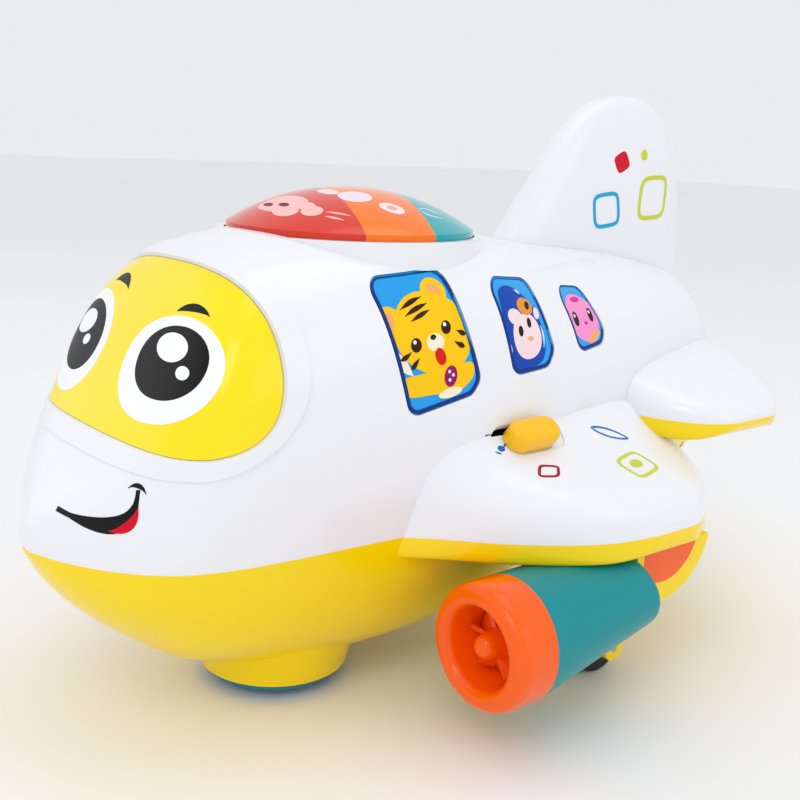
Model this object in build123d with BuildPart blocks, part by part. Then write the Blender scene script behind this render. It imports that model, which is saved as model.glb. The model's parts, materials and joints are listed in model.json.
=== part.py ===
from build123d import *
import os
from math import atan2, cos, degrees, pi, radians, sin, sqrt

os.makedirs("parts", exist_ok=True)

# Bump-and-go toy airplane, millimetres.
# Origin: on the floor, at the middle of the airplane's length and width.
# Nose towards -Y, left wing towards +X, fin towards +Z.

# ---- driving dimensions -------------------------------------------------------------
WALL = 2.4                 # moulded wall of both fuselage shells
PARTING_Z = 59.5           # height of the joint between white and yellow, wings and nose
TAIL_Z = 86.0              # height of the same joint at the tailplane
REACH = 220.0              # longer than any cutting body has to be

DOME_Y = -34.2             # centre of the dome button
DOME_R = 39.7
DOME_SEAT_Z = 146.0        # bottom edge of the lenses when the button is up
DOME_TOP_Z = 160.0
DOME_TRAVEL = 2.5
WELL_GAP = 0.5             # between the button and the wall of its well

POD_Y = -60.0              # swivel axis of the drive pod
POD_R = 21.2               # drum of the pod
POD_BORE_R = 21.6
POD_FOOT_R = 23.4
AXLE_Z = 11.0              # drive axle, so also the radius of the drive wheels
GEAR_MODULE = 0.6
PINION_TEETH = 10
IDLER_TEETH = 24
IDLER_SMALL_TEETH = 12
AXLE_TEETH = 20

NACELLE_X = 78.8           # axis of an engine nacelle
NACELLE_Z = 33.3
NACELLE_R = 19.4
NACELLE_FRONT = -43.6
NACELLE_REAR = 18.0
NACELLE_TAIL_HALF = 12.4   # half height of the nacelle's rear end
RING_LENGTH = 14.6

WING_UNDER_Z = 52.4        # lower face of the wings
TAIL_UNDER_Z = 79.0
GEAR_X = 80.0              # middle of a rear gear hoop
REAR_WHEEL_Y = 30.5
REAR_WHEEL_R = 11.0

# Fuselage stations from nose to tail:
# y, half width, bottom, widest height, top, fullness above and below the widest height
STATIONS = [
    (-143.4, 4.0, 58.0, 62.5, 67.0, 0.56, 0.56),
    (-140.1, 13.0, 52.0, 63.0, 72.0, 0.59, 0.58),
    (-133.0, 27.5, 42.5, 71.0, 79.5, 0.64, 0.59),
    (-123.5, 40.0, 33.5, 80.0, 93.0, 0.71, 0.57),
    (-113.0, 47.8, 25.5, 88.0, 113.0, 0.77, 0.55),
    (-100.7, 50.4, 17.5, 91.5, 135.5, 0.75, 0.57),
    (-79.8, 51.3, 11.0, 92.0, 146.3, 0.72, 0.60),
    (-49.4, 52.3, 8.0, 91.0, 148.0, 0.82, 0.64),
    (-11.4, 54.0, 11.0, 89.0, 147.5, 0.80, 0.66),
    (31.4, 51.4, 21.5, 88.5, 142.5, 0.66, 0.60),
    (74.1, 44.7, 32.5, 88.0, 138.5, 0.63, 0.60),
    (107.4, 36.6, 41.0, 86.5, 133.0, 0.62, 0.62),
    (128.3, 28.8, 46.5, 84.8, 126.6, 0.58, 0.62),
    (138.6, 21.5, 52.5, 84.0, 118.5, 0.56, 0.60),
    (142.6, 13.0, 63.0, 84.0, 107.0, 0.56, 0.58),
    (143.6, 5.0, 76.0, 84.0, 92.0, 0.56, 0.56),
]

# Wing stations: x, front edge, crest, rear edge, crest height
WING_STATIONS = [
    (40.0, -56.0, 4.0, 79.0, 95.0),
    (50.0, -47.5, 4.0, 77.0, 92.5),
    (56.0, -40.5, 5.0, 75.5, 87.0),
    (63.0, -33.5, 8.0, 73.0, 81.5),
    (72.0, -24.0, 12.0, 68.0, 77.5),
    (80.0, -13.0, 18.0, 61.0, 74.5),
    (86.0, -2.5, 23.0, 52.5, 71.5),
    (89.8, 9.0, 27.0, 45.0, 67.5),
    (91.6, 20.0, 29.0, 38.0, 63.0),
]

TAIL_STATIONS = [
    (20.0, 46.0, 92.0, 139.0, 107.0),
    (36.0, 49.5, 92.0, 134.0, 104.0),
    (50.0, 52.5, 90.0, 127.5, 100.5),
    (62.0, 55.5, 89.0, 119.5, 97.0),
    (71.0, 60.5, 88.0, 111.0, 94.0),
    (77.5, 68.0, 87.5, 101.5, 90.5),
    (79.6, 75.0, 86.0, 95.0, 88.0),
]

SIDES = {"left": 1, "right": -1}


# ---- shared shapes ------------------------------------------------------------------
def fuselage(inset):
    """Solid fuselage, every station drawn in by inset."""
    with BuildPart() as hull:
        last = len(STATIONS) - 1
        for index, (y, width, bottom, widest, top, full_up, full_down) in enumerate(STATIONS):
            shift = inset if index == 0 else -inset if index == last else 0
            half = max(width - inset, 1.5)
            low = min(bottom + inset, widest - 1.5)
            high = max(top - inset, widest + 1.5)
            up = widest + (high - widest) * full_up
            down = widest - (widest - low) * full_down
            with BuildSketch(Plane.XZ.offset(-(y + shift))):
                with BuildLine():
                    Bezier((half, widest), (half, up), (half * full_up, high), (0, high))
                    Bezier((0, high), (-half * full_up, high), (-half, up), (-half, widest))
                    Bezier((-half, widest), (-half, down), (-half * full_down, low), (0, low))
                    Bezier((0, low), (half * full_down, low), (half, down), (half, widest))
                make_face()
        loft()
    return hull.part


def lifting_top(stations, base, fullness=0.84):
    """Upper half of a wing or tailplane for the left side, lofted outwards along X."""
    with BuildPart() as panel:
        for x, front, crest, rear, height in stations:
            rise = height - base
            with BuildSketch(Plane.YZ.offset(x)):
                with BuildLine():
                    Line((rear, base), (front, base))
                    Bezier((front, base), (front, base + rise * fullness),
                           (crest - (crest - front) * fullness, height), (crest, height))
                    Bezier((crest, height), (crest + (rear - crest) * fullness, height),
                           (rear, base + rise * fullness), (rear, base))
                make_face()
        loft()
    return panel.part


def below_parting(gap=0.0):
    """Everything below the joint between the white and the yellow shells."""
    with BuildPart() as lower:
        with BuildSketch(Plane.YZ):
            with BuildLine():
                Line((-REACH, PARTING_Z - gap), (5, PARTING_Z - gap))
                Bezier((5, PARTING_Z - gap), (28, PARTING_Z - gap), (40, TAIL_Z - gap), (60, TAIL_Z - gap))
                Line((60, TAIL_Z - gap), (REACH, TAIL_Z - gap))
                Line((REACH, TAIL_Z - gap), (REACH, -REACH))
                Line((REACH, -REACH), (-REACH, -REACH))
                Line((-REACH, -REACH), (-REACH, PARTING_Z - gap))
            make_face()
        extrude(amount=REACH, both=True)
    return lower.part


def windshield_prism(grow):
    """Everything in front of the windshield's edge, in side view, moved out by grow."""
    with BuildPart() as prism:
        with BuildSketch(Plane.YZ):
            with BuildLine():
                Line((-REACH, 90.8 - grow * 0.7), (-117, 92.3 - grow * 0.7))
                Bezier((-117, 92.3 - grow * 0.7), (-100, 92.5 - grow * 0.7),
                       (-91.5 + grow, 98), (-91.0 + grow, 113))
                Bezier((-91.0 + grow, 113), (-90.7 + grow, 124),
                       (-93.5 + grow, 134 + grow * 0.4), (-97.5 + grow * 0.9, 140 + grow * 0.4))
                Line((-97.5 + grow * 0.9, 140 + grow * 0.4), (-112, 162))
                Line((-112, 162), (-REACH, 162))
                Line((-REACH, 162), (-REACH, 90.8 - grow * 0.7))
            make_face()
        extrude(amount=REACH, both=True)
    return prism.part


WINDOW_CORNER_R = 4.6
WINDOWS = {
    "front": [(-60.5, 137.0), (-32.5, 139.0), (-22.5, 106.0), (-26.0, 101.5), (-49.5, 96.8)],
    "middle": [(-16.0, 136.2), (5.5, 134.3), (11.5, 112.0), (8.0, 106.8), (-9.0, 105.6)],
    "rear": [(20.0, 131.2), (36.5, 129.6), (42.5, 115.5), (39.5, 111.0), (25.0, 109.4)],
}


def window_prism(corners, shrink, side):
    """Window opening, drawn in side view and cut in from one side."""
    with BuildPart() as prism:
        with BuildSketch(Plane.YZ.offset(side * 20)):
            with BuildLine():
                Polyline(*corners, close=True)
            make_face()
            fillet(vertices(), WINDOW_CORNER_R)
            if shrink:
                offset(amount=-shrink)
        extrude(amount=side * 60)
    return prism.part


def save(part, name):
    part.label = name
    export_step(part, f"parts/{name}.step")


def layer(outer, inner, *prisms):
    """The part of the layer between two nested hulls that lies inside any of the prisms."""
    with BuildPart() as sheet:
        for prism in prisms:
            add(prism)
        add(outer, mode=Mode.INTERSECT)
        add(inner, mode=Mode.SUBTRACT)
    return sheet.part


def posts(places, radius, low, high, limit):
    """Round posts between two heights, trimmed to lie inside limit."""
    with BuildPart() as group:
        with BuildSketch(Plane.XY.offset(low)):
            with Locations(*places):
                Circle(radius)
        extrude(amount=high - low)
        add(limit, mode=Mode.INTERSECT)
    return group.part


def gear_teeth(teeth, plane, width, phase_deg):
    """Spur gear with straight-sided teeth; a tooth points at phase_deg in the plane."""
    pitch_r = GEAR_MODULE * teeth / 2
    tip_r = pitch_r + 0.85 * GEAR_MODULE
    root_r = pitch_r - 1.25 * GEAR_MODULE
    step = 360 / teeth
    tip_half = degrees(0.16 * GEAR_MODULE * pi / 2 / tip_r)
    root_half = degrees(0.56 * GEAR_MODULE * pi / 2 / root_r)
    outline = []
    for index in range(teeth):
        middle = phase_deg + index * step
        for radius, turn in ((root_r, -root_half), (tip_r, -tip_half), (tip_r, tip_half), (root_r, root_half)):
            angle = radians(middle + turn)
            outline.append((radius * cos(angle), radius * sin(angle)))
    with BuildPart() as wheel:
        with BuildSketch(plane):
            Polygon(*outline, align=None)
        extrude(amount=width)
    return wheel.part


def along_x(x, y, z):
    """Plane across the X axis at a point, with Y and Z as its own axes."""
    return Plane(origin=(x, y, z), x_dir=(0, 1, 0), z_dir=(1, 0, 0))


hull_outer = fuselage(0)
hull_inner = fuselage(WALL)
hull_pocket = fuselage(1.4)
hull_panel = fuselage(0.4)
lower_side = below_parting()

# ---- upper shell --------------------------------------------------------------------
SCREWS_FRONT = [(39.8, -78.0), (44.0, -8.0), (-39.8, -78.0), (-44.0, -8.0)]
SCREWS_REAR = [(39.5, 66.0), (26.0, 116.0), (-39.5, 66.0), (-26.0, 116.0)]
WELL_R = DOME_R + WELL_GAP
WELL_FLOOR_Z = 138.0

KNOB_PLANE = Plane(origin=(57.6, -4.2, 86.7), x_dir=(0, 1, 0), z_dir=(0.62, 0, 0.785))
KNOB_LENGTH = 20.0
KNOB_WIDTH = 9.5
KNOB_TRAVEL = 4.5

window_openings = [window_prism(corners, 0, side) for corners in WINDOWS.values() for side in (1, -1)]

with BuildPart() as upper_shell:
    add(hull_outer)
    add(hull_inner, mode=Mode.SUBTRACT)
    add(posts(SCREWS_FRONT, 4.4, PARTING_Z, PARTING_Z + 16, hull_pocket))
    add(posts(SCREWS_REAR, 4.4, TAIL_Z, TAIL_Z + 14, hull_pocket))
    # well for the dome button, with guide holes, lamp holes and a hole for the plunger
    with BuildSketch(Plane.XY.offset(WELL_FLOOR_Z - 2)):
        with Locations((0, DOME_Y)):
            Circle(WELL_R + 2.2)
    extrude(amount=DOME_SEAT_Z + 0.3 - WELL_FLOOR_Z + 2)
    with BuildSketch(Plane.XY.offset(WELL_FLOOR_Z)):
        with Locations((0, DOME_Y)):
            Circle(WELL_R)
    extrude(amount=40, mode=Mode.SUBTRACT)
    with BuildSketch(Plane.XY.offset(WELL_FLOOR_Z - 5)):
        with Locations((0, DOME_Y)):
            Circle(4.5)
            with PolarLocations(30, 3, start_angle=90):
                Circle(3.4)
            with PolarLocations(18, 3, start_angle=30):
                Circle(4.0)
    extrude(amount=10, mode=Mode.SUBTRACT)
    add(lower_side, mode=Mode.SUBTRACT)
    with BuildSketch(Plane.XY.offset(PARTING_Z)):
        with Locations(*SCREWS_FRONT):
            Circle(1.1)
    extrude(amount=12, mode=Mode.SUBTRACT)
    with BuildSketch(Plane.XY.offset(TAIL_Z)):
        with Locations(*SCREWS_REAR):
            Circle(1.1)
    extrude(amount=12, mode=Mode.SUBTRACT)
    add(layer(hull_outer, hull_pocket, windshield_prism(0), *window_openings), mode=Mode.SUBTRACT)
    # recess of the mode switch, and a pocket for its body behind the left wing
    with BuildSketch(KNOB_PLANE.offset(-1.6)):
        SlotOverall(KNOB_LENGTH + 2 * KNOB_TRAVEL + 1.4, KNOB_WIDTH + 1.2)
    extrude(amount=20, mode=Mode.SUBTRACT)
    with BuildSketch(KNOB_PLANE.offset(-0.9)):
        Rectangle(KNOB_LENGTH + 2 * KNOB_TRAVEL + 3, KNOB_WIDTH + 3)
    extrude(amount=-12, mode=Mode.SUBTRACT)
save(upper_shell.part, "upper_shell")

# ---- windshield panel, its frame, and the picture windows ---------------------------
with BuildPart() as windshield_panel:
    add(layer(hull_panel, hull_pocket, windshield_prism(-0.25)))
save(windshield_panel.part, "windshield_panel")

hull_proud = fuselage(-0.9)
with BuildPart() as windshield_frame:
    add(layer(hull_proud, hull_outer, windshield_prism(7.5)))
    add(windshield_prism(0.3), mode=Mode.SUBTRACT)
save(windshield_frame.part, "windshield_frame")

for side_name, side in SIDES.items():
    for place, corners in WINDOWS.items():
        with BuildPart() as window:
            add(layer(hull_panel, hull_pocket, window_prism(corners, 0.25, side)))
        save(window.part, f"{side_name}_window_{place}")

# ---- belly shell --------------------------------------------------------------------
BOSS_BOTTOM_Z = 5.4
BOSS_TOP_Z = 14.4
COLLAR_TOP_Z = 24.0
COLLAR_TOP_R = 29.5
COLLAR_BOTTOM_R = 24.4
BOARD_POSTS = [(31, -92), (-31, -92), (31, -27), (-31, -27)]
BOARD_Z = 50.0
DOOR = (54.0, 58.0)        # width and length of the battery door
DOOR_Y = 39.0


def pod_collar():
    """Collar around the drive pod, tapering down out of the belly."""
    height = COLLAR_TOP_Z - BOSS_BOTTOM_Z
    with BuildPart() as collar:
        with BuildSketch(Plane.XY.offset(COLLAR_TOP_Z)):
            with Locations((0, POD_Y)):
                Circle(COLLAR_TOP_R)
        extrude(amount=-height, taper=degrees(atan2(COLLAR_TOP_R - COLLAR_BOTTOM_R, height)))
    return collar.part


with BuildPart() as belly_shell:
    add(hull_outer)
    add(hull_inner, mode=Mode.SUBTRACT)
    add(lower_side, mode=Mode.INTERSECT)
    add(posts(SCREWS_FRONT, 4.4, 20, PARTING_Z, hull_pocket))
    add(posts(SCREWS_REAR, 4.4, 40, TAIL_Z, hull_pocket))
    add(posts(BOARD_POSTS, 3.0, 12, BOARD_Z, hull_pocket))
    add(pod_collar())
    with BuildSketch(Plane.XY):
        with Locations((0, POD_Y)):
            Circle(POD_BORE_R)
    extrude(amount=30, mode=Mode.SUBTRACT)
    # seat for the flange of the pod's cover
    with BuildSketch(Plane.XY.offset(BOSS_TOP_Z)):
        with Locations((0, POD_Y)):
            Circle(POD_FOOT_R + 0.5)
    extrude(amount=12, mode=Mode.SUBTRACT)
    # screw holes with recesses for the heads; flush plugs close the front ones
    add(posts(SCREWS_FRONT, 1.6, 0, PARTING_Z, hull_pocket), mode=Mode.SUBTRACT)
    add(posts(SCREWS_FRONT, 3.1, 0, PARTING_Z - 8, hull_pocket), mode=Mode.SUBTRACT)
    with BuildSketch(Plane.XY):
        with Locations(*SCREWS_REAR):
            Circle(1.6)
    extrude(amount=REACH, mode=Mode.SUBTRACT)
    with BuildSketch(Plane.XY):
        with Locations(*SCREWS_REAR):
            Circle(3.1)
    extrude(amount=TAIL_Z - 8, mode=Mode.SUBTRACT)
    # battery door opening and speaker holes
    with BuildSketch(Plane.XY):
        with Locations((0, DOOR_Y)):
            RectangleRounded(*DOOR, 5)
    extrude(amount=45, mode=Mode.SUBTRACT)
    with BuildSketch(Plane.XY):
        with Locations((0, -102)):
            with PolarLocations(6, 6):
                Circle(1.3)
            Circle(1.3)
    extrude(amount=30, mode=Mode.SUBTRACT)
save(belly_shell.part, "belly_shell")

with BuildPart() as battery_door:
    with BuildSketch(Plane.XY):
        with Locations((0, DOOR_Y)):
            RectangleRounded(DOOR[0] - 0.8, DOOR[1] - 0.8, 4.6)
    extrude(amount=45)
    add(hull_outer, mode=Mode.INTERSECT)
    add(hull_inner, mode=Mode.SUBTRACT)
    with BuildSketch(Plane.XY):
        with Locations((0, DOOR_Y + 22)):
            Circle(1.6)
    extrude(amount=45, mode=Mode.SUBTRACT)
save(battery_door.part, "battery_door")

# ---- wings and tailplane ------------------------------------------------------------
def top_void(stations):
    """Stations of the hollow inside an upper half."""
    return [(x, front + 3, crest, rear - 3, height - WALL) for x, front, crest, rear, height in stations[:-1]]


wing_void = top_void(WING_STATIONS)
tail_void = top_void(TAIL_STATIONS)


def under_stations(stations, base, depth):
    """Stations of the lower half that fits under an upper half."""
    return [(x, front, crest, rear, base - min(depth, 0.8 * (height - base)))
            for x, front, crest, rear, height in stations]


def under_void(stations):
    """Stations of the hollow inside a lower half."""
    return [(x, front + 2.4, crest, rear - 2.4, height + 2.0) for x, front, crest, rear, height in stations[:-1]]


TRAY_EDGE = 4.0
wing_under = under_stations(WING_STATIONS, PARTING_Z, PARTING_Z - WING_UNDER_Z)
tail_under = under_stations(TAIL_STATIONS, TAIL_Z, TAIL_Z - TAIL_UNDER_Z)

with BuildPart() as left_wing_top:
    add(lifting_top(WING_STATIONS, PARTING_Z))
    add(lifting_top(wing_void, PARTING_Z), mode=Mode.SUBTRACT)
    add(hull_outer, mode=Mode.SUBTRACT)
    # recess of the mode switch, with a slot for its stem
    with BuildSketch(KNOB_PLANE.offset(-1.6)):
        SlotOverall(KNOB_LENGTH + 2 * KNOB_TRAVEL + 1.4, KNOB_WIDTH + 1.2)
    extrude(amount=20, mode=Mode.SUBTRACT)
    with BuildSketch(KNOB_PLANE.offset(-8)):
        SlotOverall(2 * KNOB_TRAVEL + 7, 4.6)
    extrude(amount=10, mode=Mode.SUBTRACT)
save(left_wing_top.part, "left_wing_top")

with BuildPart() as right_wing_top:
    add(lifting_top(WING_STATIONS, PARTING_Z))
    add(lifting_top(wing_void, PARTING_Z), mode=Mode.SUBTRACT)
    add(hull_outer, mode=Mode.SUBTRACT)
    mirror(about=Plane.YZ, mode=Mode.REPLACE)
save(right_wing_top.part, "right_wing_top")


def tray(stations, base):
    """Flat-bottomed lower half of a wing or tailplane with a small rounded edge, lofted outwards along X."""
    with BuildPart() as solid:
        for x, front, _, rear, height in stations:
            edge = min(TRAY_EDGE, 0.2 * (rear - front))
            with BuildSketch(Plane.YZ.offset(x)):
                with BuildLine():
                    Line((rear, base), (front, base))
                    Bezier((front, base), (front, base + 0.8 * (height - base)), (front + 0.2 * edge, height),
                           (front + edge, height))
                    Line((front + edge, height), (rear - edge, height))
                    Bezier((rear - edge, height), (rear - 0.2 * edge, height), (rear, base + 0.8 * (height - base)),
                           (rear, base))
                make_face()
        loft()
    return solid.part


def lower_half(stations, void, base, side):
    """Lower half of a wing or tailplane, open at the joint."""
    with BuildPart() as shell:
        add(tray(stations, base))
        add(tray(void, base), mode=Mode.SUBTRACT)
        add(hull_outer, mode=Mode.SUBTRACT)
        if side < 0:
            mirror(about=Plane.YZ, mode=Mode.REPLACE)
    return shell.part


def wing_block(side):
    """Solid upper half of a wing, used to trim what meets it."""
    with BuildPart() as block:
        add(lifting_top(WING_STATIONS, PARTING_Z))
        if side < 0:
            mirror(about=Plane.YZ, mode=Mode.REPLACE)
    return block.part


for side_name, side in SIDES.items():
    with BuildPart() as wing_bottom:
        add(lower_half(wing_under, under_void(wing_under), PARTING_Z, side))
    save(wing_bottom.part, f"{side_name}_wing_bottom")
    with BuildPart() as tailplane_bottom:
        add(lower_half(tail_under, under_void(tail_under), TAIL_Z, side))
        add(wing_block(side), mode=Mode.SUBTRACT)
    save(tailplane_bottom.part, f"{side_name}_tailplane_bottom")
    with BuildPart() as tailplane_top:
        add(lifting_top(TAIL_STATIONS, TAIL_Z))
        add(lifting_top(tail_void, TAIL_Z), mode=Mode.SUBTRACT)
        add(hull_outer, mode=Mode.SUBTRACT)
        if side < 0:
            mirror(about=Plane.YZ, mode=Mode.REPLACE)
        add(wing_block(side), mode=Mode.SUBTRACT)
    save(tailplane_top.part, f"{side_name}_tailplane_top")

# ---- tail fin -----------------------------------------------------------------------
# height, front edge, rear edge, half thickness
FIN_STATIONS = [
    (116.0, 13.0, 138.5, 10.0),
    (125.0, 19.5, 137.6, 9.8),
    (134.0, 26.0, 136.6, 9.6),
    (143.5, 33.0, 135.5, 9.4),
    (158.7, 44.7, 133.0, 8.8),
    (173.9, 56.3, 128.0, 8.0),
    (183.4, 64.8, 122.3, 7.2),
    (190.0, 73.2, 115.8, 6.0),
    (193.8, 82.0, 108.0, 4.4),
    (195.5, 89.5, 100.5, 2.2),
]

with BuildPart() as tail_fin:
    for z, front, rear, half in FIN_STATIONS:
        middle = front + (rear - front) * 0.42
        fore = front + (middle - front) * 0.25
        aft = rear - (rear - middle) * 0.35
        with BuildSketch(Plane.XY.offset(z)):
            with BuildLine():
                Bezier((0, front), (half * 0.9, front), (half, fore), (half, middle))
                Bezier((half, middle), (half, aft), (half * 0.6, rear), (0, rear))
                Bezier((0, rear), (-half * 0.6, rear), (-half, aft), (-half, middle))
                Bezier((-half, middle), (-half, fore), (-half * 0.9, front), (0, front))
            make_face()
    loft()
    add(hull_outer, mode=Mode.SUBTRACT)
save(tail_fin.part, "tail_fin")

# ---- dome button --------------------------------------------------------------------
CARRIER_Z = 144.0
DOME_RADIUS = 77.7         # radius of the dome's crown

with BuildPart() as dome_carrier:
    with BuildSketch(Plane.XY.offset(CARRIER_Z)):
        with Locations((0, DOME_Y)):
            Circle(DOME_R - 0.3)
    extrude(amount=2)
    with BuildSketch(Plane.XY.offset(CARRIER_Z)):
        with Locations((0, DOME_Y)):
            with PolarLocations(30, 3, start_angle=90):
                Circle(3.0)
    extrude(amount=-11)
    with BuildSketch(Plane.XY.offset(CARRIER_Z - 11)):
        with Locations((0, DOME_Y)):
            with PolarLocations(30, 3, start_angle=90):
                Circle(4.2)
    extrude(amount=2.6)
    with BuildSketch(Plane.XY.offset(CARRIER_Z)):
        with Locations((0, DOME_Y)):
            Circle(2.4)
    extrude(amount=-3.4)
save(dome_carrier.part, "dome_carrier")


def dome_shell(skin):
    """Solid of revolution bounded by the dome's surface moved in by skin."""
    rim = DOME_R - skin
    top = DOME_TOP_Z - skin
    with BuildPart() as cap:
        with BuildSketch(Plane.XZ.offset(-DOME_Y)):
            with BuildLine():
                Line((0, DOME_SEAT_Z), (rim, DOME_SEAT_Z))
                Line((rim, DOME_SEAT_Z), (rim, DOME_SEAT_Z + 2.2 - skin * 0.3))
                ThreePointArc((rim, DOME_SEAT_Z + 2.2 - skin * 0.3), (rim * 0.55, top - 3.2), (0, top))
                Line((0, top), (0, DOME_SEAT_Z))
            make_face()
        revolve(axis=Axis((0, DOME_Y, 0), (0, 0, 1)))
    return cap.part


def dome_band(low, high):
    """Slanting band across the dome, between two values of y on its centre line."""
    with BuildPart() as band:
        with BuildSketch(Plane.XY.offset(100)):
            Polygon((-60, low + 16), (60, low - 16), (60, high - 16), (-60, high + 16), align=None)
        extrude(amount=100)
    return band.part


DOME_BANDS = {"front": (-160, -45.0), "middle": (-45.0, -21.5), "rear": (-21.5, 100)}
for place, (low, high) in DOME_BANDS.items():
    with BuildPart() as dome_lens:
        add(dome_shell(0))
        add(dome_shell(1.8), mode=Mode.SUBTRACT)
        add(dome_band(low, high), mode=Mode.INTERSECT)
    save(dome_lens.part, f"dome_lens_{place}")

SPRING_R = 9.0
SPRING_PLEAT = 0.75
SPRING_PLEATS = 4
with BuildPart() as dome_spring:
    pleats = [(SPRING_R + 0.6 * (turn % 2), WELL_FLOOR_Z + turn * SPRING_PLEAT) for turn in range(2 * SPRING_PLEATS + 1)]
    back = [(radius + 0.5, height) for radius, height in reversed(pleats)]
    with BuildSketch(Plane.XZ.offset(-DOME_Y)):
        Polygon(*pleats, *back, align=None)
    revolve(axis=Axis((0, DOME_Y, 0), (0, 0, 1)))
save(dome_spring.part, "dome_spring")

LAMP_BOARD_Z = 129.0
with BuildPart() as lamp_board:
    with BuildSketch(Plane.XY.offset(LAMP_BOARD_Z)):
        with Locations((0, DOME_Y)):
            Circle(24)
    extrude(amount=1.4)
    with BuildSketch(Plane.XY.offset(LAMP_BOARD_Z + 1.4)):
        with Locations((0, DOME_Y)):
            Rectangle(6.2, 6.2)
    extrude(amount=6.6)
    with BuildSketch(Plane.XY.offset(LAMP_BOARD_Z + 1.4)):
        with Locations((0, DOME_Y)):
            with PolarLocations(20, 3, start_angle=90):
                Circle(2.0)
    extrude(amount=WELL_FLOOR_Z - 2 - LAMP_BOARD_Z - 1.4)
save(lamp_board.part, "lamp_board")

with BuildPart() as dome_lamps:
    with BuildSketch(Plane.XY.offset(LAMP_BOARD_Z + 1.4)):
        with Locations((0, DOME_Y)):
            with PolarLocations(18, 3, start_angle=30):
                Circle(2.5)
    extrude(amount=9.4)
    fillet(dome_lamps.faces().sort_by(Axis.Z)[-3:].edges(), 2.4)
save(dome_lamps.part, "dome_lamps")

# ---- mode switch --------------------------------------------------------------------
with BuildPart() as mode_knob:
    with BuildSketch(KNOB_PLANE.offset(-1.2)):
        SlotOverall(KNOB_LENGTH, KNOB_WIDTH)
    extrude(amount=6.2)
    fillet(mode_knob.faces().sort_by(Axis(KNOB_PLANE.origin, KNOB_PLANE.z_dir))[-1].edges(), 2.2)
    with BuildSketch(KNOB_PLANE.offset(-1.2)):
        SlotOverall(7, 3.6)
    extrude(amount=-5.0)
save(mode_knob.part, "mode_knob")

with BuildPart() as mode_switch:
    with BuildSketch(KNOB_PLANE.offset(-6.6)):
        Rectangle(24, 7)
    extrude(amount=-4.5)
save(mode_switch.part, "mode_switch")

# ---- nacelles -----------------------------------------------------------------------
RING_REAR = NACELLE_FRONT + RING_LENGTH
NACELLE_AXIS = Axis((NACELLE_X, 0, NACELLE_Z), (0, 1, 0))
NACELLE_PLANE = Plane(origin=(NACELLE_X, 0, NACELLE_Z), x_dir=(0, 1, 0), z_dir=(1, 0, 0))
FAN_PIN_R = 1.5
FAN_R = 10.5


def mirror_if(side):
    if side < 0:
        mirror(about=Plane.YZ, mode=Mode.REPLACE)


def across_y(y, z):
    """Plane across the nacelle's axis, facing the tail."""
    return Plane(origin=(NACELLE_X, y, z), x_dir=(1, 0, 0), z_dir=(0, 1, 0))


def nacelle_tube(shrink, front, rear):
    """Nacelle outline from round at the front to a low oval at the rear, its underside sweeping up."""
    with BuildPart() as tube:
        with BuildSketch(across_y(front, NACELLE_Z)):
            Circle(NACELLE_R - shrink)
        with BuildSketch(across_y(rear, NACELLE_Z + NACELLE_R - 0.4 - NACELLE_TAIL_HALF)):
            Ellipse(NACELLE_R - 0.4 - shrink, NACELLE_TAIL_HALF - shrink)
        loft()
    return tube.part


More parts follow.
